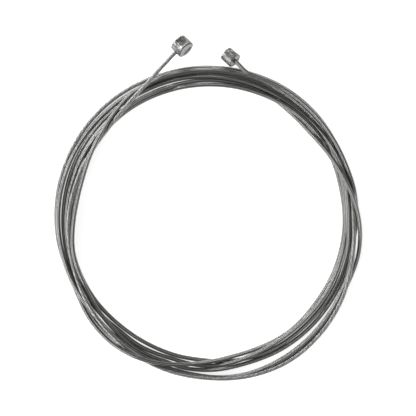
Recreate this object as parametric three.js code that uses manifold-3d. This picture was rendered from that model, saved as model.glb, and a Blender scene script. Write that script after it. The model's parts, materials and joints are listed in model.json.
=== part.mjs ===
// Inner cable of a bicycle gear shifter: one stranded steel cable, coiled flat for storage,
// with a cast head on each end. It lies on the plane z = 0. Units are millimetres, +Z is up.
import * as THREE from 'three';
import { mergeVertices } from 'three/addons/utils/BufferGeometryUtils.js';
import Module from 'manifold-3d';

const wasm = await Module();
wasm.setup();

// Cable
const cableDiameter = 1.2;
const cableSides = 8;
const cableStep = 2.5 * cableDiameter;

// Gap kept between pieces that touch
const clearance = 0.3;

// Coil: the outer shape of all the turns together
const coilInnerRadius = 37.8;
const coilWidth = 6.4;
const coilHeight = 3.6;
const coilSegments = 72;
const coilEdgeSteps = 2;

// Barrel head: the cable runs into its side, square to its axis
const barrelDiameter = 5.2;
const barrelLength = 3.6;
const barrelChamfer = 0.3;
const barrelHeading = -45.5;
const barrelTilt = 18;

// Cylinder head: the cable runs into its end, along its axis
const cylinderDiameter = 4.2;
const cylinderLength = 3.6;
const cylinderChamfer = 0.25;
const cylinderHeading = -41.5;
const cylinderTilt = 20;

const headSegments = 32;

// Straight lead of cable outside each head, before its first chosen point
const lead = 0.8;

// Places of the heads: bearing round the coil in degrees, and distance outside its edge
const barrelPlace = [98.58, 6.40];
const cylinderPlace = [82.66, 3.12];

// Chosen points of the two free stretches of cable, each from its head to the coil:
// bearing, distance outside the coil's edge, and height from the coil's top
const barrelEndPoints = [
  [105.9, 2.29, -0.45],
  [108.9, 0.90, -0.25],
  [112.0, -0.43, -0.12],
];
const cylinderEndPoints = [
  [78.0, 0.60, 0.0],
  [75.9, -0.30, -0.05],
  [73.0, -0.55, -0.15],
];

// Materials
const strandedSteel = { color: 0x8b8c89, roughness: 0.38, metalness: 1.0 };
const castZinc = { color: 0xa3a5a2, roughness: 0.42, metalness: 1.0 };

const cableRadius = cableDiameter / 2;
const boreRadius = cableRadius + clearance;
const coilOuterRadius = coilInnerRadius + coilWidth;

function toRadians(degrees) {
  return THREE.MathUtils.degToRad(degrees);
}

// Point at a bearing round the coil, outside its edge, at a height
function besideCoil(bearing, outside, height) {
  const radius = coilOuterRadius + outside;
  const angle = toRadians(bearing);
  return new THREE.Vector3(radius * Math.cos(angle), radius * Math.sin(angle), height);
}

// Joins and cuts

function toSolid(geometry) {
  const plain = geometry.clone();
  plain.deleteAttribute('normal');
  plain.deleteAttribute('uv');
  const merged = mergeVertices(plain, 1e-5);
  const solidMesh = new wasm.Mesh({
    numProp: 3,
    vertProperties: new Float32Array(merged.attributes.position.array),
    triVerts: new Uint32Array(merged.index.array),
  });
  return new wasm.Manifold(solidMesh);
}

function toGeometry(solid) {
  const result = solid.getMesh();
  const geometry = new THREE.BufferGeometry();
  geometry.setAttribute('position', new THREE.BufferAttribute(result.vertProperties, 3));
  geometry.setIndex(new THREE.BufferAttribute(result.triVerts, 1));
  geometry.computeVertexNormals();
  return geometry;
}

// Heads: a turned-looking body about its own +X, with chamfered rims

function headBody(diameter, length, chamfer) {
  const radius = diameter / 2;
  const half = length / 2;
  const profile = [
    new THREE.Vector2(0, -half),
    new THREE.Vector2(radius - chamfer, -half),
    new THREE.Vector2(radius, -half + chamfer),
    new THREE.Vector2(radius, half - chamfer),
    new THREE.Vector2(radius - chamfer, half),
    new THREE.Vector2(0, half),
  ];
  const body = new THREE.LatheGeometry(profile, headSegments);
  body.rotateZ(-Math.PI / 2);
  return body;
}

// Blind bore that the cable's end is held in, from the head's middle to past its surface
function boreCutter(reach) {
  const depth = 2 * reach;
  const cutter = new THREE.CylinderGeometry(boreRadius, boreRadius, depth, headSegments);
  cutter.translate(0, depth / 2, 0);
  return cutter;
}

// Height of a head's middle when the rim of its lower end rests on the plane
function restingHeight(diameter, length, chamfer, tilt) {
  const angle = toRadians(tilt);
  return (length / 2 - chamfer) * Math.sin(angle) + (diameter / 2) * Math.cos(angle);
}

function placeHead(head, place, height, heading, tilt) {
  head.position.copy(besideCoil(...place, height));
  head.rotation.order = 'ZYX';
  head.rotation.set(0, -toRadians(tilt), toRadians(heading));
  head.updateMatrixWorld();
}

function makeHead(name, body, cutter) {
  const geometry = toGeometry(toSolid(body).subtract(toSolid(cutter)));
  const head = new THREE.Mesh(geometry, new THREE.MeshStandardMaterial(castZinc));
  head.name = name;
  return head;
}

function makeBarrelHead() {
  const cutter = boreCutter(barrelDiameter / 2);
  cutter.rotateZ(Math.PI);
  const head = makeHead(
    'barrel_head',
    headBody(barrelDiameter, barrelLength, barrelChamfer),
    cutter,
  );
  const height = restingHeight(barrelDiameter, barrelLength, barrelChamfer, barrelTilt);
  placeHead(head, barrelPlace, height, barrelHeading, barrelTilt);
  return head;
}

function makeCylinderHead() {
  const cutter = boreCutter(cylinderLength / 2);
  cutter.rotateZ(-Math.PI / 2);
  const head = makeHead(
    'cylinder_head',
    headBody(cylinderDiameter, cylinderLength, cylinderChamfer),
    cutter,
  );
  const height = restingHeight(cylinderDiameter, cylinderLength, cylinderChamfer, cylinderTilt);
  placeHead(head, cylinderPlace, height, cylinderHeading, cylinderTilt);
  return head;
}

// Coil: a ring with a flat underside and edges as round as the cable

function makeCoil() {
  const corners = [
    [coilInnerRadius + cableRadius, cableRadius, -180],
    [coilOuterRadius - cableRadius, cableRadius, -90],
    [coilOuterRadius - cableRadius, coilHeight - cableRadius, 0],
    [coilInnerRadius + cableRadius, coilHeight - cableRadius, 90],
  ];
  const profile = [];
  for (const [radius, height, start] of corners) {
    for (let step = 0; step <= coilEdgeSteps; step += 1) {
      const angle = toRadians(start + (90 * step) / coilEdgeSteps);
      profile.push(new THREE.Vector2(
        radius + cableRadius * Math.cos(angle),
        height + cableRadius * Math.sin(angle),
      ));
    }
  }
  profile.push(profile[0].clone());
  const ring = new THREE.LatheGeometry(profile, coilSegments);
  ring.rotateX(Math.PI / 2);
  const coil = new THREE.Mesh(ring, new THREE.MeshStandardMaterial(strandedSteel));
  coil.name = 'coil';
  return coil;
}

// Free stretches of cable: from the bottom of the head's bore to the outside of the coil

function route(head, direction, reach, points) {
  const along = direction.clone().applyEuler(head.rotation);
  const atDistance = (distance) => head.position.clone().addScaledVector(along, distance);
  return new THREE.CatmullRomCurve3([
    atDistance(clearance),
    atDistance(reach),
    atDistance(reach + lead),
    ...points.map(([bearing, outside, rise]) => besideCoil(bearing, outside, coilHeight + rise)),
  ]);
}

// Length along the route at which the cable comes within the clearance of the coil
function lengthOutsideCoil(path) {
  const limit = coilOuterRadius + clearance + cableRadius;
  const total = path.getLength();
  const samples = 400;
  for (let sample = 0; sample <= samples; sample += 1) {
    const point = path.getPointAt(sample / samples);
    if (Math.hypot(point.x, point.y) < limit) {
      return (total * sample) / samples;
    }
  }
  return total;
}

function makeCableEnd(name, path) {
  const length = lengthOutsideCoil(path);
  const total = path.getLength();
  const steps = Math.max(2, Math.ceil(length / cableStep));
  const points = [];
  for (let step = 0; step <= steps; step += 1) {
    points.push(path.getPointAt((length * step) / (steps * total)));
  }
  const section = new THREE.Shape();
  for (let side = 0; side < cableSides; side += 1) {
    const angle = (2 * Math.PI * side) / cableSides;
    const corner = [cableRadius * Math.cos(angle), cableRadius * Math.sin(angle)];
    if (side === 0) {
      section.moveTo(...corner);
    } else {
      section.lineTo(...corner);
    }
  }
  section.closePath();
  const tube = new THREE.ExtrudeGeometry(section, {
    steps,
    extrudePath: new THREE.CatmullRomCurve3(points),
  });
  const cable = new THREE.Mesh(tube, new THREE.MeshStandardMaterial(strandedSteel));
  cable.name = name;
  return cable;
}

// Assembly

const barrelHead = makeBarrelHead();
const cylinderHead = makeCylinderHead();
const intoBarrelSide = new THREE.Vector3(0, -1, 0);
const intoCylinderEnd = new THREE.Vector3(1, 0, 0);
const barrelRoute = route(barrelHead, intoBarrelSide, barrelDiameter / 2, barrelEndPoints);
const cylinderRoute = route(
  cylinderHead,
  intoCylinderEnd,
  cylinderLength / 2,
  cylinderEndPoints,
);

const cable = new THREE.Group();
cable.add(
  makeCoil(),
  makeCableEnd('barrel_end_cable', barrelRoute),
  makeCableEnd('cylinder_end_cable', cylinderRoute),
  barrelHead,
  cylinderHead,
);

// The origin is the middle of the underside of the whole object's box
const extent = new THREE.Box3().setFromObject(cable, true);
const middle = extent.getCenter(new THREE.Vector3());
cable.position.set(-middle.x, -middle.y, -extent.min.z);

const part = new THREE.Group();
part.add(cable);

export default part;
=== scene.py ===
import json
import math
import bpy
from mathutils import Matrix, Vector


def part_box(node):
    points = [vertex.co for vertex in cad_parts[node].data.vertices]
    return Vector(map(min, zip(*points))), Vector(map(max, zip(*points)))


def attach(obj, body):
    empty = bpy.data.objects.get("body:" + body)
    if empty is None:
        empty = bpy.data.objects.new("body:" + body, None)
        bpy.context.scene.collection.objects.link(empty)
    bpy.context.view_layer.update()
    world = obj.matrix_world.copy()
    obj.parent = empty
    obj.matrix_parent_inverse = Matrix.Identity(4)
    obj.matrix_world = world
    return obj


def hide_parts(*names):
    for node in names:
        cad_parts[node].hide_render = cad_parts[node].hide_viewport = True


bl_info = {
    "name": "Coiled Shift Cable",
    "version": (1, 0, 0),
    "blender": (4, 5, 0),
    "location": "View3D > Sidebar > Shift Cable",
    "description": "Stranded inner cable of a bicycle shifter, coiled flat, with a cast head on each end",
    "category": "Add Mesh",
}

import bmesh
import bpy
from bpy.props import FloatProperty, FloatVectorProperty, IntProperty, PointerProperty
from mathutils import Matrix, Vector

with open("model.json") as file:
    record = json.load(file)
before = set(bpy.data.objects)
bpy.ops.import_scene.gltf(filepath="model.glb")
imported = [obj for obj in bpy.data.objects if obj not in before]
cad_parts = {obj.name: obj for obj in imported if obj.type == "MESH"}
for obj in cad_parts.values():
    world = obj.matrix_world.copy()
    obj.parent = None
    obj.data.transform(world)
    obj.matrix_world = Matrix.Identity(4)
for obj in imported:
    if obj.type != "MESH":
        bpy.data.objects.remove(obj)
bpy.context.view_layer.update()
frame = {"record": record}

MM = 0.001

# Frame values: the coil's box gives its middle, its outer edge and its top, and the mounts
# give the heads' axes
COIL_LOW, COIL_HIGH = (Vector(corner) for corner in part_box("coil"))
COIL_MIDDLE = Vector(((COIL_LOW.x + COIL_HIGH.x) / 2, (COIL_LOW.y + COIL_HIGH.y) / 2, 0.0))
COIL_EDGE = (COIL_HIGH.x - COIL_LOW.x) / 2
COIL_TOP = COIL_HIGH.z
HEAD_AXES = {
    mount["name"]: Vector(mount["axis"]).normalized() for mount in frame["record"]["mounts"]
}

# Free stretches of cable, each from its head to the coil: bearing round the coil in degrees,
# distance outside the coil's edge, and height from the coil's top
BARREL_END_POINTS = (
    (105.9, 2.29 * MM, -0.45 * MM),
    (108.9, 0.90 * MM, -0.25 * MM),
    (112.0, -0.43 * MM, -0.12 * MM),
)
CYLINDER_END_POINTS = (
    (78.0, 0.60 * MM, 0.00 * MM),
    (75.9, -0.30 * MM, -0.05 * MM),
    (73.0, -0.55 * MM, -0.15 * MM),
)

# The cable stops this far from a head's middle, and runs this far straight out of the head
HEAD_CLEARANCE = 0.3 * MM
LEAD = 0.8 * MM

# How the coil is wound. A turn runs once round from TURN_START, anticlockwise from above.
# Each stage is a bearing in degrees and the lane the cable has reached there, in cable
# diameters out from the innermost lane, whose radius is INNER_LANE.
TURN_START = 104
INNER_LANE = 37.2 * MM
WINDING = (
    ((113, 5.4), (117, 4.2), (122, 3.25), (130, 2.1), (140, 1.5), (150, 1.4), (160, 1.55),
     (175, 1.85), (190, 2.1), (210, 2.7), (230, 3.5), (250, 4.4), (270, 5.0), (285, 5.7),
     (300, 6.1), (315, 5.6), (330, 4.75), (345, 3.6), (355, 3.1), (362, 2.85), (370, 2.9),
     (390, 4.0), (405, 4.9), (420, 5.5), (435, 5.7)),
    ((104, 5.8), (130, 5.95), (150, 5.7), (170, 5.15), (185, 4.6), (205, 3.8), (220, 4.7),
     (230, 4.9), (240, 4.45), (250, 3.5), (260, 2.25), (270, 1.2), (280, 0.45), (290, 0.25),
     (305, 0.4), (325, 0.1), (345, 0.45), (360, 0.8), (375, 1.1), (390, 1.8), (405, 2.0),
     (435, 1.85)),
    ((104, 1.75), (130, 1.85), (150, 1.65), (168, 1.1), (190, 1.5), (210, 1.15), (230, 0.55),
     (250, 0.57), (257, 0.7), (265, 0.8), (280, 1.5), (295, 1.85), (315, 1.75), (340, 1.95),
     (350, 1.95), (360, 1.65), (370, 1.9), (382, 2.8), (400, 2.9), (420, 3.0), (435, 3.35),
     (450, 3.7)),
    ((104, 3.8), (115, 3.75), (130, 3.8), (150, 3.7), (180, 3.2), (190, 3.05), (210, 3.4),
     (230, 4.1), (245, 4.15), (270, 4.95), (290, 5.4), (300, 5.4), (320, 4.8), (335, 4.4),
     (350, 4.7), (360, 4.25), (370, 3.3), (380, 2.15), (390, 1.45), (402, 0.95), (412, 1.3),
     (425, 2.3), (440, 2.75), (450, 2.85)),
    ((104, 2.65), (120, 2.55), (150, 2.6), (180, 2.45), (200, 2.35), (220, 2.0), (230, 1.6),
     (240, 1.8), (247, 1.75), (255, 1.68), (261, 1.95), (268, 2.2), (280, 1.8), (290, 1.15),
     (307, 0.65), (330, 0.8), (360, 1.15), (375, 1.7), (390, 2.65), (400, 3.3), (410, 3.75),
     (430, 4.15), (440, 4.5), (450, 4.7)),
    ((104, 4.75), (125, 4.75), (150, 4.75), (175, 4.4), (200, 3.7), (222, 3.2), (240, 3.5),
     (250, 3.8), (260, 4.15), (266, 4.45), (272, 4.8), (280, 5.1), (300, 4.8), (320, 4.2),
     (340, 3.55), (360, 2.4), (370, 2.2), (380, 2.6), (395, 3.6), (410, 4.1), (430, 4.8),
     (450, 5.15)),
    ((104, 5.2), (110, 5.05), (120, 4.6), (130, 3.3), (140, 2.05), (150, 1.1), (160, 0.45),
     (170, 0.35), (180, 0.75), (190, 1.3), (205, 1.45), (225, 2.05), (240, 2.75), (248, 2.8),
     (253, 2.75), (258, 3.1), (263, 3.2), (270, 3.15), (285, 2.75), (300, 2.85), (335, 2.85),
     (350, 3.0), (365, 3.7), (372, 3.85), (385, 3.9), (400, 4.4), (420, 5.1), (430, 5.3)),
)

# A later turn lies on an earlier one where they meet, except where an earlier turn was
# tucked back over it: earlier turn, later turn, and the bearings between which it lies on top
TUCKED_OVER = (
    (1, 2, 104, 180), (1, 3, 104, 360), (1, 4, 104, 350), (1, 5, 104, 464), (1, 6, 104, 422),
    (1, 7, 104, 128), (1, 7, 210, 370), (2, 3, 250, 300), (2, 3, 390, 464), (2, 4, 180, 260),
    (2, 4, 404, 464), (2, 5, 250, 283), (2, 6, 225, 270), (2, 7, 200, 300), (3, 4, 400, 464),
    (3, 5, 338, 464), (3, 6, 350, 464), (3, 7, 280, 350), (4, 5, 300, 464), (4, 6, 104, 150),
    (4, 6, 355, 464), (4, 7, 330, 464), (6, 7, 150, 372),
)

# Settling of the turns onto each other. In each sweep a station goes down by SAG and a share,
# STIFFNESS, of the way to the level between its neighbours. Where two turns press into each
# other, the upper one then rises and the lower one sinks by their shares of the overlap.
STATION_DEGREES = 3
SETTLING_SWEEPS = 260
SAG = 0.010 * MM
STIFFNESS = 0.5
UPPER_RISES = 0.6
LOWER_SINKS = 0.4

# The strand is drawn through a die, which flattens the wires' crowns. Each wire's outline has
# these points: share of the wire's pitch, share of the strand's radius, and groove depth
WIRE_OUTLINE = ((0.0, 1.0, 0.0), (0.3, 0.96, 0.66), (0.5, 0.77, 1.0), (0.7, 0.96, 0.66))

# Rings of points in one twist of the strand. The curve that they lie on is first cut finer:
# into this many steps for each ring, and never fewer than this many between two points.
RINGS_PER_LAY = 9
FINE_STEPS = 4
FEWEST_STEPS = 2

# A wire's shade is this many shades on from its neighbour's, so that the two differ
SHADE_STRIDE = 5

# Patterns in the metals: scale of the noise per metre, its detail and its roughness
WIRE_MOTTLE = (900.0, 3.0, 0.55)
CAST_GRAIN = (2600.0, 4.0, 0.65)
CAST_BLOTCH = (700.0, 2.0, 0.5)

# How far the grooves, the wires' shades and the mottle darken and roughen the drawn steel: the
# grooves' darkening is painted shade. The shades and the mottle darken it towards the groove
# shade colour times SHADE_LIFT.
GROOVE_SHADE_FALLOFF = 1.2
WIRE_DARKENS = 0.50
MOTTLE_DARKENS = 0.20
SHADE_LIFT = 1.5
GROOVE_ROUGHENS = 0.25
WIRE_ROUGHENS = 0.05
MOTTLE_ROUGHENS = 0.08
STEEL_ROUGHNESS = 0.11

# How far the grain and the blotches darken, roughen and raise the casting: the first three
# count on its sides alone. They darken it towards its colour times CAST_SHADE.
SIDE_GRAIN_DARKENS = 1.6
SIDE_BLOTCH_DARKENS = 1.2
SIDE_OFFSET = 1.05
BLOTCH_DARKENS = 0.4
CAST_DARKNESS = 0.25
CAST_SHADE = 0.18
BLOTCH_ROUGHENS = 0.16
CAST_ROUGHNESS = 0.20
BLOTCH_RAISES = 0.3
RELIEF_STRENGTH = 0.5
RELIEF_HEIGHT = 0.12 * MM

# Points of a head's dish, as shares of its radius, the power of its curve, and the steps
# round a head's edge
DISH_SHARES = (0.0, 0.2, 0.4, 0.6, 0.8, 0.92, 1.0)
DISH_POWER = 4
EDGE_STEPS = 5

# Points of a head past this share of its radius are on its cast side
SIDE_SHARE = 0.9

# Points of a head that lie closer together than this are one point
MERGE_DISTANCE = 0.001 * MM


class CableSettings(bpy.types.PropertyGroup):
    diameter: FloatProperty(
        name="Cable diameter",
        description="Thickness of the whole strand",
        default=1.2 * MM,
        unit="LENGTH",
    )
    length: FloatProperty(
        name="Cable length",
        description="Length of the strand between its two heads",
        default=1.80,
        unit="LENGTH",
    )
    outer_wires: IntProperty(
        name="Outer wires",
        description="Wires in the strand's outer layer",
        default=8,
    )
    lay_diameters: FloatProperty(
        name="Lay",
        description="Length of one full twist of the wires, in cable diameters",
        default=4.4,
    )
    steel_colour: FloatVectorProperty(
        name="Steel",
        description="Colour of the drawn steel wires",
        default=(0.80, 0.80, 0.78),
        subtype="COLOR",
    )
    # Painted shade: the dark colour painted into the grooves between the wires
    groove_shade_colour: FloatVectorProperty(
        name="Grooves",
        description="Colour between the wires, where light and cloth don't reach",
        default=(0.03, 0.03, 0.028),
        subtype="COLOR",
    )


class HeadSettings(bpy.types.PropertyGroup):
    barrel_diameter: FloatProperty(
        name="Barrel diameter",
        description="Diameter of the head that the cable enters from the side",
        default=5.2 * MM,
        unit="LENGTH",
    )
    barrel_length: FloatProperty(
        name="Barrel length",
        description="Length of the barrel head along its own axis",
        default=3.6 * MM,
        unit="LENGTH",
    )
    cylinder_diameter: FloatProperty(
        name="Cylinder diameter",
        description="Diameter of the head that is in line with the cable",
        default=4.2 * MM,
        unit="LENGTH",
    )
    cylinder_length: FloatProperty(
        name="Cylinder length",
        description="Length of the in-line head",
        default=3.6 * MM,
        unit="LENGTH",
    )
    zinc_colour: FloatVectorProperty(
        name="Zinc",
        description="Colour of the plated casting",
        default=(0.56, 0.56, 0.545),
        subtype="COLOR",
    )


class StageSettings(bpy.types.PropertyGroup):
    camera_height: FloatProperty(
        name="Camera height",
        description="Height of the camera above the floor",
        default=0.6514,
        unit="LENGTH",
    )
    camera_lens: FloatProperty(
        name="Lens",
        description="Focal length of the camera",
        default=200.0,
        unit="CAMERA",
    )
    left_power: FloatProperty(
        name="Left lamp",
        description="Power of the main lamp, on the picture's left",
        default=4.0,
        unit="POWER",
    )
    right_power: FloatProperty(
        name="Right lamp",
        description="Power of the weaker lamp on the picture's right",
        default=0.7,
        unit="POWER",
    )
    back_power: FloatProperty(
        name="Back lamp",
        description="Power of the low lamp behind the heads",
        default=3.2,
        unit="POWER",
    )


# Shader maths

class Shade:
    """A node's output that Python's operators work on. Each operator adds a Math node."""

    def __init__(self, nodes, socket):
        self.nodes = nodes
        self.socket = socket

    def math(self, operation, first, second):
        node = self.nodes.add(
            "ShaderNodeMath", {"operation": operation}, {0: first, 1: second}
        )
        return Shade(self.nodes, node.outputs[0])

    def __add__(self, other):
        return self.math("ADD", self, other)

    __radd__ = __add__

    def __sub__(self, other):
        return self.math("SUBTRACT", self, other)

    def __rsub__(self, other):
        return self.math("SUBTRACT", other, self)

    def __mul__(self, other):
        return self.math("MULTIPLY", self, other)

    __rmul__ = __mul__

    def __pow__(self, other):
        return self.math("POWER", self, other)


class Nodes:
    """Node tree that is filled through one method."""

    def __init__(self, owner):
        owner.use_nodes = True
        self.tree = owner.node_tree
        self.tree.nodes.clear()

    def add(self, kind, settings=None, inputs=None):
        node = self.tree.nodes.new(kind)
        for name, value in (settings or {}).items():
            setattr(node, name, value)
        for key, value in (inputs or {}).items():
            self.feed(node.inputs[key], value)
        return node

    def feed(self, socket, value):
        if isinstance(value, Shade):
            self.tree.links.new(value.socket, socket)
        elif isinstance(value, bpy.types.NodeSocket):
            self.tree.links.new(value, socket)
        else:
            socket.default_value = value

    def attribute(self, name):
        node = self.add("ShaderNodeAttribute", {"attribute_name": name})
        return Shade(self, node.outputs["Fac"])

    def noise(self, place, scale, detail, roughness):
        node = self.add(
            "ShaderNodeTexNoise",
            {},
            {"Vector": place, "Scale": scale, "Detail": detail, "Roughness": roughness},
        )
        return Shade(self, node.outputs[0])

    def mix_colour(self, factor, first, second):
        node = self.add(
            "ShaderNodeMix",
            {"data_type": "RGBA"},
            {0: factor, 6: first, 7: second},
        )
        return node.outputs[2]


def rgba(colour, factor=1.0):
    return (colour[0] * factor, colour[1] * factor, colour[2] * factor, 1.0)


def stranded_steel(settings):
    """Drawn wires: bright on their crowns, with shade painted dark into the grooves between them."""
    material = bpy.data.materials.new("stranded_steel")
    nodes = Nodes(material)
    place = nodes.add("ShaderNodeTexCoord").outputs["Object"]
    groove = nodes.attribute("groove")
    wire = nodes.attribute("wire")
    mottle = nodes.noise(place, *WIRE_MOTTLE)
    # Painted shade: the colour darkens into the grooves between the wires, towards the groove shade
    # colour
    colour = nodes.mix_colour(
        groove ** GROOVE_SHADE_FALLOFF,
        rgba(settings.steel_colour),
        rgba(settings.groove_shade_colour),
    )
    shade = nodes.mix_colour(
        wire * WIRE_DARKENS + mottle * MOTTLE_DARKENS,
        colour,
        rgba(settings.groove_shade_colour, SHADE_LIFT),
    )
    smooth = mottle * MOTTLE_ROUGHENS + STEEL_ROUGHNESS
    surface = nodes.add(
        "ShaderNodeBsdfPrincipled",
        {},
        {
            "Base Color": shade,
            "Metallic": 1.0,
            "Roughness": groove * GROOVE_ROUGHENS + wire * WIRE_ROUGHENS + smooth,
        },
    )
    nodes.add("ShaderNodeOutputMaterial", {}, {"Surface": surface.outputs[0]})
    return material


def cast_zinc(settings):
    """Plated casting: grained on its sides, smoother on its end faces."""
    material = bpy.data.materials.new("cast_zinc")
    nodes = Nodes(material)
    place = nodes.add("ShaderNodeTexCoord").outputs["Object"]
    side = nodes.attribute("side")
    grain = nodes.noise(place, *CAST_GRAIN)
    blotch = nodes.noise(place, *CAST_BLOTCH)
    on_sides = grain * SIDE_GRAIN_DARKENS + blotch * SIDE_BLOTCH_DARKENS - SIDE_OFFSET
    all_over = blotch * BLOTCH_DARKENS + CAST_DARKNESS
    colour = nodes.mix_colour(
        side * on_sides + all_over,
        rgba(settings.zinc_colour),
        rgba(settings.zinc_colour, CAST_SHADE),
    )
    relief = nodes.add(
        "ShaderNodeBump",
        {},
        {
            "Strength": RELIEF_STRENGTH,
            "Distance": RELIEF_HEIGHT,
            "Height": side * grain + blotch * BLOTCH_RAISES,
        },
    )
    surface = nodes.add(
        "ShaderNodeBsdfPrincipled",
        {},
        {
            "Base Color": colour,
            "Metallic": 1.0,
            "Roughness": blotch * BLOTCH_ROUGHENS + CAST_ROUGHNESS,
            "Normal": relief.outputs[0],
        },
    )
    nodes.add("ShaderNodeOutputMaterial", {}, {"Surface": surface.outputs[0]})
    return material


# Heads

def head_frame(node_name, axis):
    """Matrix that takes a head modelled about +X to its place: the middle of its solid's box."""
    low, high = (Vector(corner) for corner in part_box(node_name))
    across = Vector((0.0, 0.0, 1.0)).cross(axis).normalized()
    upward = axis.cross(across)
    turn = Matrix((axis, across, upward)).transposed().to_4x4()
    return Matrix.Translation((low + high) / 2) @ turn


def arc(middle, radius, first, last, steps):
    """Points of a round stretch of an outline, in degrees."""
    points = []
    for step in range(steps + 1):
        angle = math.radians(first + (last - first) * step / steps)
        points.append((middle[0] + radius * math.cos(angle), middle[1] + radius * math.sin(angle)))
    return points


def turned_body(outline, steps):
    """Closed body of revolution about X from an outline of (x, radius) that meets the axis."""
    body = bmesh.new()
    corners = [body.verts.new((x, radius, 0.0)) for x, radius in outline]
    edges = [body.edges.new(pair) for pair in zip(corners, corners[1:])]
    bmesh.ops.spin(
        body,
        geom=corners + edges,
        cent=(0.0, 0.0, 0.0),
        axis=(1.0, 0.0, 0.0),
        angle=2 * math.pi,
        steps=steps,
        use_merge=True,
    )
    bmesh.ops.remove_doubles(body, verts=body.verts, dist=MERGE_DISTANCE)
    bmesh.ops.recalc_face_normals(body, faces=body.faces)
    return body


def finish_mesh(body, name, place, material, side_radius):
    """Makes the mesh object, with its place in its mesh and its cast sides marked."""
    side = body.verts.layers.float.new("side")
    for corner in body.verts:
        radius = math.hypot(corner.co.y, corner.co.z)
        corner[side] = 1.0 if radius > side_radius else 0.0
    bmesh.ops.transform(body, matrix=place, verts=body.verts)
    mesh = bpy.data.meshes.new(name)
    body.to_mesh(mesh)
    body.free()
    mesh.materials.append(material)
    mesh.shade_smooth()
    piece = bpy.data.objects.new(name, mesh)
    bpy.context.collection.objects.link(piece)
    return piece


def head_outline(half, radius, rim, edge, dish, rings):
    """Outline of a head from the middle of one end face to the middle of the other.

    Each end has a round dish, a flat rim and a round edge. The rings of points on the side
    are at shares of the half length.
    """
    inner = radius - edge - rim
    hollow = [
        (half - dish * (1 - share ** DISH_POWER), inner * share) for share in DISH_SHARES
    ]
    end = hollow + arc((half - edge, radius - edge), edge, 0, 90, EDGE_STEPS)
    side = [(half * share, radius) for share in rings]
    return end + side + [(-along, reach) for along, reach in reversed(end)]


class SHIFTCABLE_OT_barrel_head(bpy.types.Operator):
    """Add the barrel head, which the cable enters from the side"""

    bl_idname = "shiftcable.barrel_head"
    bl_label = "Barrel Head"

    RIM = 0.36 * MM
    EDGE = 0.22 * MM
    DISH = 0.50 * MM
    RINGS = (0.7, 0.62, 0.3, 0.0, -0.3, -0.62, -0.7)
    # The ribs stop at a share of the half length and are cut into the outermost points
    RIBS = 26
    RIB_DEPTH = 0.08 * MM
    RIB_STEPS = 4
    RIB_END = 0.66
    OUTERMOST = 0.98

    def execute(self, context):
        settings = context.scene.cable_heads
        radius = settings.barrel_diameter / 2
        half = settings.barrel_length / 2
        outline = head_outline(half, radius, self.RIM, self.EDGE, self.DISH, self.RINGS)
        body = turned_body(outline, self.RIBS * self.RIB_STEPS)
        for corner in body.verts:
            reach = math.hypot(corner.co.y, corner.co.z)
            if abs(corner.co.x) < self.RIB_END * half and reach > self.OUTERMOST * radius:
                bearing = math.atan2(corner.co.z, corner.co.y)
                sink = self.RIB_DEPTH * (0.5 - 0.5 * math.cos(self.RIBS * bearing))
                corner.co.y *= 1.0 - sink / reach
                corner.co.z *= 1.0 - sink / reach
        piece = finish_mesh(
            body,
            "barrel_head_casting",
            head_frame("barrel_head", HEAD_AXES["barrel_head_end"]),
            cast_zinc(settings),
            radius * SIDE_SHARE,
        )
        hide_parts("barrel_head")
        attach(piece, "root")
        return {"FINISHED"}


class SHIFTCABLE_OT_cylinder_head(bpy.types.Operator):
    """Add the cylinder head, which is in line with the cable"""

    bl_idname = "shiftcable.cylinder_head"
    bl_label = "Cylinder Head"

    RIM = 0.30 * MM
    EDGE = 0.20 * MM
    DISH = 0.20 * MM
    RINGS = (0.7, 0.35, 0.0, -0.35, -0.7)
    STEPS = 96

    def execute(self, context):
        settings = context.scene.cable_heads
        radius = settings.cylinder_diameter / 2
        half = settings.cylinder_length / 2
        outline = head_outline(half, radius, self.RIM, self.EDGE, self.DISH, self.RINGS)
        body = turned_body(outline, self.STEPS)
        piece = finish_mesh(
            body,
            "cylinder_head_casting",
            head_frame("cylinder_head", HEAD_AXES["cylinder_head_seat"]),
            cast_zinc(settings),
            radius * SIDE_SHARE,
        )
        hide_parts("cylinder_head")
        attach(piece, "root")
        return {"FINISHED"}


# Cable route

def beside_coil(bearing, outside, rise):
    """Point at a bearing round the coil, outside its edge and above its top."""
    angle = math.radians(bearing)
    reach = COIL_EDGE + outside
    around = Vector((reach * math.cos(angle), reach * math.sin(angle), COIL_TOP + rise))
    return COIL_MIDDLE + around


def smooth_step(share, start, leave, stop, arrive):
    """Cubic from start to stop, read at a share of the way, with its slopes at both ends."""
    square = share * share
    cube = square * share
    return (
        (2 * cube - 3 * square + 1) * start
        + (cube - 2 * square + share) * leave
        + (3 * square - 2 * cube) * stop
        + (cube - square) * arrive
    )


def through_stages(stages, at):
    """Smooth curve through (place, value) stages, read at one place."""
    for index in range(len(stages) - 1):
        if at <= stages[index + 1][0]:
            break

    def slope(here):
        if here == 0 or here == len(stages) - 1:
            return 0.0
        before = stages[here][0] - stages[here - 1][0]
        after = stages[here + 1][0] - stages[here][0]
        rise_before = (stages[here][1] - stages[here - 1][1]) / before
        rise_after = (stages[here + 1][1] - stages[here][1]) / after
        return (rise_before * after + rise_after * before) / (before + after)

    start, low = stages[index]
    stop, high = stages[index + 1]
    span = stop - start
    share = (at - start) / span
    return smooth_step(share, low, span * slope(index), high, span * slope(index + 1))


def wound_stations(diameter):
    """Bearing and radius of every station of the coil, from the first turn to the last."""
    stages = [
        (360 * turn + bearing, lane)
        for turn, stops in enumerate(WINDING)
        for bearing, lane in stops
    ]
    stations = []
    bearing = STATION_DEGREES * math.ceil(stages[0][0] / STATION_DEGREES)
    while bearing <= stages[-1][0]:
        lane = through_stages(stages, bearing)
        stations.append((bearing, INNER_LANE + lane * diameter))
        bearing += STATION_DEGREES
    return stations


def turn_number(bearing):
    """Number of the turn that the cable is on at a bearing counted on from the first turn."""
    return (bearing - TURN_START) // 360 + 1


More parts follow.
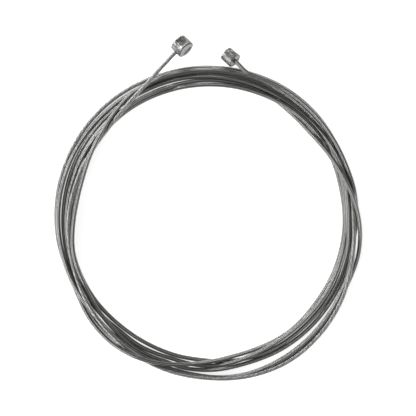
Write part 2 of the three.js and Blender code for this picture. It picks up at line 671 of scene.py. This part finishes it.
def lies_over(earlier, later, bearing):
    """Whether the earlier turn lies over the later one at a bearing."""
    return any(
        (earlier, later) == rule[:2] and rule[2] <= bearing < rule[3] for rule in TUCKED_OVER
    )


def meeting_places(stations, diameter):
    """Pairs of stations that meet in plan: upper, lower and how far apart in height."""
    columns = {}
    for index, (bearing, radius) in enumerate(stations):
        columns.setdefault(bearing % 360, []).append(index)
    meetings = []
    for column in columns.values():
        for place, first in enumerate(column):
            for second in column[place + 1:]:
                across = abs(stations[first][1] - stations[second][1])
                if across >= diameter:
                    continue
                apart = math.sqrt(diameter ** 2 - across ** 2)
                earlier = turn_number(stations[first][0])
                later = turn_number(stations[second][0])
                bearing = (stations[first][0] - TURN_START) % 360 + TURN_START
                if lies_over(earlier, later, bearing):
                    meetings.append((first, second, apart))
                else:
                    meetings.append((second, first, apart))
    return meetings


def settled_heights(stations, diameter, start_height, stop_height):
    """Heights of the stations once the stiff turns lie on the floor and on each other."""
    floor = diameter / 2
    heights = [floor] * len(stations)
    heights[0] = start_height
    heights[-1] = stop_height
    meetings = meeting_places(stations, diameter)
    for _sweep in range(SETTLING_SWEEPS):
        between = [(before + after) / 2 for before, after in zip(heights, heights[2:])]
        for index, level in enumerate(between, start=1):
            heights[index] += STIFFNESS * (level - heights[index]) - SAG
        for upper, lower, apart in meetings:
            short = apart - (heights[upper] - heights[lower])
            if short > 0:
                heights[upper] += UPPER_RISES * short
                heights[lower] -= LOWER_SINKS * short
        heights = [max(floor, level) for level in heights]
        heights[0] = start_height
        heights[-1] = stop_height
    return heights


def cable_route(diameter):
    """Points of the cable's middle line from inside one head, through the coil, to the other."""
    barrel = head_frame("barrel_head", HEAD_AXES["barrel_head_end"])
    cylinder = head_frame("cylinder_head", HEAD_AXES["cylinder_head_seat"])
    heads = bpy.context.scene.cable_heads
    from_barrel = [
        barrel @ Vector((0.0, -reach, 0.0))
        for reach in (
            HEAD_CLEARANCE,
            heads.barrel_diameter / 2,
            heads.barrel_diameter / 2 + LEAD,
        )
    ]
    to_cylinder = [
        cylinder @ Vector((reach, 0.0, 0.0))
        for reach in (
            heads.cylinder_length / 2 + LEAD,
            heads.cylinder_length / 2,
            HEAD_CLEARANCE,
        )
    ]
    start = [beside_coil(*point) for point in BARREL_END_POINTS]
    stop = [beside_coil(*point) for point in reversed(CYLINDER_END_POINTS)]
    stations = wound_stations(diameter)
    heights = settled_heights(stations, diameter, start[-1].z, stop[0].z)
    turns = []
    for (bearing, radius), height in zip(stations, heights):
        angle = math.radians(bearing)
        around = Vector((radius * math.cos(angle), radius * math.sin(angle), height))
        turns.append(COIL_MIDDLE + around)
    return from_barrel + start + turns[1:-1] + stop + to_cylinder


def evenly_spaced(points, spacing):
    """The smooth curve through the points, cut into even steps.

    Its slopes are weighed by the roots of the distances between the points, which keeps it
    from looping where two points are close.
    """
    fine = []
    padded = [2 * points[0] - points[1]] + points + [2 * points[-1] - points[-2]]
    for before, here, there, after in zip(padded, padded[1:], padded[2:], padded[3:]):
        pieces = max(FEWEST_STEPS, math.ceil((there - here).length / (spacing / FINE_STEPS)))
        first = math.sqrt((here - before).length)
        span = math.sqrt((there - here).length)
        last = math.sqrt((after - there).length)
        leave = ((here - before) / first - (there - before) / (first + span)
                 + (there - here) / span) * span
        arrive = ((there - here) / span - (after - here) / (span + last)
                  + (after - there) / last) * span
        for piece in range(pieces):
            fine.append(smooth_step(piece / pieces, here, leave, there, arrive))
    fine.append(points[-1].copy())
    travelled = [0.0]
    for here, there in zip(fine, fine[1:]):
        travelled.append(travelled[-1] + (there - here).length)
    steps = round(travelled[-1] / spacing)
    even = []
    index = 0
    for step in range(steps + 1):
        target = travelled[-1] * step / steps
        while index < len(fine) - 2 and travelled[index + 1] < target:
            index += 1
        share = (target - travelled[index]) / (travelled[index + 1] - travelled[index])
        even.append(fine[index].lerp(fine[index + 1], share))
    return even


def strand_section(diameter, wires):
    """Closed outline of the outer wires: crown, shoulder, groove and shoulder for each."""
    pitch = 2 * math.pi / wires
    points = []
    for wire in range(wires):
        for along, reach, _depth in WIRE_OUTLINE:
            angle = (wire + along) * pitch
            radius = reach * diameter / 2
            points.append((radius * math.cos(angle), radius * math.sin(angle)))
    return points


class SHIFTCABLE_OT_strand(bpy.types.Operator):
    """Add the stranded cable, wound into its coil"""

    bl_idname = "shiftcable.strand"
    bl_label = "Stranded Cable"

    def execute(self, context):
        settings = context.scene.cable_strand
        diameter = settings.diameter
        lay = settings.lay_diameters * diameter
        path = evenly_spaced(cable_route(diameter), lay / RINGS_PER_LAY)
        section = strand_section(diameter, settings.outer_wires)
        piece = self.sweep(path, section, lay)
        self.mark_wires(piece.data, len(section), settings.outer_wires)
        piece.data.materials.append(stranded_steel(settings))
        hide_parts("coil", "barrel_end_cable", "cylinder_end_cable")
        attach(piece, "root")
        return {"FINISHED"}

    def sweep(self, path, section, lay):
        """Sweeps the section along the path, turning it once a lay to the left."""
        outline = bpy.data.curves.new("strand_section", "CURVE")
        ring = outline.splines.new("POLY")
        ring.points.add(len(section) - 1)
        for point, (x, y) in zip(ring.points, section):
            point.co = (x, y, 0.0, 1.0)
        ring.use_cyclic_u = True
        profile = bpy.data.objects.new("strand_section", outline)
        line = bpy.data.curves.new("strand_line", "CURVE")
        line.dimensions = "3D"
        line.twist_mode = "Z_UP"
        line.bevel_mode = "OBJECT"
        line.bevel_object = profile
        line.use_fill_caps = True
        spline = line.splines.new("POLY")
        spline.points.add(len(path) - 1)
        step = (path[1] - path[0]).length
        for index, (point, place) in enumerate(zip(spline.points, path)):
            point.co = (*place, 1.0)
            point.tilt = -2 * math.pi * index * step / lay
        strand = bpy.data.objects.new("strand_line", line)
        bpy.context.collection.objects.link(profile)
        bpy.context.collection.objects.link(strand)
        shaped = strand.evaluated_get(bpy.context.evaluated_depsgraph_get())
        mesh = bpy.data.meshes.new_from_object(shaped)
        mesh.name = "inner_cable"
        bpy.data.objects.remove(strand)
        bpy.data.objects.remove(profile)
        piece = bpy.data.objects.new("inner_cable", mesh)
        bpy.context.collection.objects.link(piece)
        return piece

    def mark_wires(self, mesh, section_points, wires):
        """Marks how deep in a groove each point lies, and which wire it is on."""
        groove = mesh.attributes.new("groove", "FLOAT", "POINT")
        wire = mesh.attributes.new("wire", "FLOAT", "POINT")
        outline_points = len(WIRE_OUTLINE)
        for index in range(len(mesh.vertices)):
            place = index % section_points
            groove.data[index].value = WIRE_OUTLINE[place % outline_points][2]
            number = (place + 1) // outline_points % wires
            wire.data[index].value = number * SHADE_STRIDE % wires / wires
        mesh.shade_smooth()


# Stage

class SHIFTCABLE_OT_stage(bpy.types.Operator):
    """Add the floor, the lamps, the surroundings and the camera"""

    bl_idname = "shiftcable.stage"
    bl_label = "Stage"

    PICTURE_MIDDLE = (-0.26 * MM, 0.22 * MM)
    SENSOR_WIDTH = 36.0
    CLIP_START = 0.01
    FLOOR_SIZE = 3.0
    FLOOR_GLOW = 0.70
    WHITE = (1.0, 1.0, 1.0)
    PAPER_COLOUR = (0.86, 0.86, 0.86)
    SURROUNDINGS_COLOUR = (0.26, 0.26, 0.26)
    LAMP_REACH = 0.60
    # Each lamp's bearing and elevation in degrees, and its width and height
    LEFT_LAMP = (196, 28, 1.10, 0.30)
    RIGHT_LAMP = (325, 28, 0.70, 0.30)
    BACK_LAMP = (124, 20, 0.80, 0.20)

    def execute(self, context):
        settings = context.scene.cable_stage
        self.add_floor()
        self.add_surroundings(context.scene)
        self.add_lamp("left_lamp", self.LEFT_LAMP, settings.left_power)
        self.add_lamp("right_lamp", self.RIGHT_LAMP, settings.right_power)
        self.add_lamp("back_lamp", self.BACK_LAMP, settings.back_power)
        self.add_camera(context.scene, settings)
        context.scene.view_settings.view_transform = "Standard"
        return {"FINISHED"}

    def add_floor(self):
        body = bmesh.new()
        bmesh.ops.create_grid(body, x_segments=1, y_segments=1, size=self.FLOOR_SIZE / 2)
        mesh = bpy.data.meshes.new("floor")
        body.to_mesh(mesh)
        body.free()
        material = bpy.data.materials.new("floor_paper")
        nodes = Nodes(material)
        path = nodes.add("ShaderNodeLightPath")
        seen = (
            Shade(nodes, path.outputs["Is Camera Ray"])
            + Shade(nodes, path.outputs["Is Glossy Ray"])
            + Shade(nodes, path.outputs["Is Transmission Ray"])
        )
        glow = nodes.add(
            "ShaderNodeEmission",
            {},
            {"Color": rgba(self.WHITE), "Strength": seen * self.FLOOR_GLOW},
        )
        paper = nodes.add("ShaderNodeBsdfDiffuse", {}, {"Color": rgba(self.PAPER_COLOUR)})
        both = nodes.add("ShaderNodeAddShader", {}, {0: glow.outputs[0], 1: paper.outputs[0]})
        nodes.add("ShaderNodeOutputMaterial", {}, {"Surface": both.outputs[0]})
        mesh.materials.append(material)
        floor = bpy.data.objects.new("floor", mesh)
        bpy.context.collection.objects.link(floor)

    def add_surroundings(self, scene):
        world = bpy.data.worlds.new("surroundings")
        scene.world = world
        nodes = Nodes(world)
        path = nodes.add("ShaderNodeLightPath")
        seen = Shade(nodes, path.outputs["Is Camera Ray"])
        colour = nodes.mix_colour(seen, rgba(self.SURROUNDINGS_COLOUR), rgba(self.WHITE))
        background = nodes.add("ShaderNodeBackground", {}, {"Color": colour})
        nodes.add("ShaderNodeOutputWorld", {}, {"Surface": background.outputs[0]})

    def add_lamp(self, name, form, power):
        bearing, elevation, width, height = form
        lamp = bpy.data.lights.new(name, "AREA")
        lamp.shape = "RECTANGLE"
        lamp.size = width
        lamp.size_y = height
        lamp.energy = power
        around = math.radians(bearing)
        up = math.radians(elevation)
        place = self.LAMP_REACH * Vector(
            (math.cos(around) * math.cos(up), math.sin(around) * math.cos(up), math.sin(up))
        )
        holder = bpy.data.objects.new(name, lamp)
        towards = -place.normalized()
        turn = towards.to_track_quat("-Z", "Y").to_matrix().to_4x4()
        holder.matrix_world = Matrix.Translation(place) @ turn
        bpy.context.collection.objects.link(holder)

    def add_camera(self, scene, settings):
        """Adds the camera, which looks straight down, as an unturned one does."""
        lens = bpy.data.cameras.new("camera")
        lens.lens = settings.camera_lens
        lens.sensor_width = self.SENSOR_WIDTH
        lens.clip_start = self.CLIP_START
        camera = bpy.data.objects.new("camera", lens)
        camera.location = (*self.PICTURE_MIDDLE, settings.camera_height)
        bpy.context.collection.objects.link(camera)
        scene.camera = camera


class SHIFTCABLE_PT_panel(bpy.types.Panel):
    """Sizes, colours and pieces of the coiled shift cable"""

    bl_label = "Shift Cable"
    bl_idname = "SHIFTCABLE_PT_panel"
    bl_space_type = "VIEW_3D"
    bl_region_type = "UI"
    bl_category = "Shift Cable"

    def draw(self, context):
        layout = self.layout
        for group in (
            context.scene.cable_strand,
            context.scene.cable_heads,
            context.scene.cable_stage,
        ):
            column = layout.column(align=True)
            for name in group.__annotations__:
                column.prop(group, name)
        for operator in OPERATORS:
            layout.operator(operator.bl_idname)


SETTINGS = {
    "cable_strand": CableSettings,
    "cable_heads": HeadSettings,
    "cable_stage": StageSettings,
}
OPERATORS = (
    SHIFTCABLE_OT_stage,
    SHIFTCABLE_OT_barrel_head,
    SHIFTCABLE_OT_cylinder_head,
    SHIFTCABLE_OT_strand,
)


def register():
    for group in SETTINGS.values():
        bpy.utils.register_class(group)
    for name, group in SETTINGS.items():
        setattr(bpy.types.Scene, name, PointerProperty(type=group))
    for operator in OPERATORS:
        bpy.utils.register_class(operator)
    bpy.utils.register_class(SHIFTCABLE_PT_panel)


def unregister():
    bpy.utils.unregister_class(SHIFTCABLE_PT_panel)
    for operator in reversed(OPERATORS):
        bpy.utils.unregister_class(operator)
    for name in SETTINGS:
        delattr(bpy.types.Scene, name)
    for group in reversed(SETTINGS.values()):
        bpy.utils.unregister_class(group)


def main():
    register()
    bpy.ops.shiftcable.stage()
    bpy.ops.shiftcable.barrel_head()
    bpy.ops.shiftcable.cylinder_head()
    bpy.ops.shiftcable.strand()


if __name__ == "__main__":
    main()
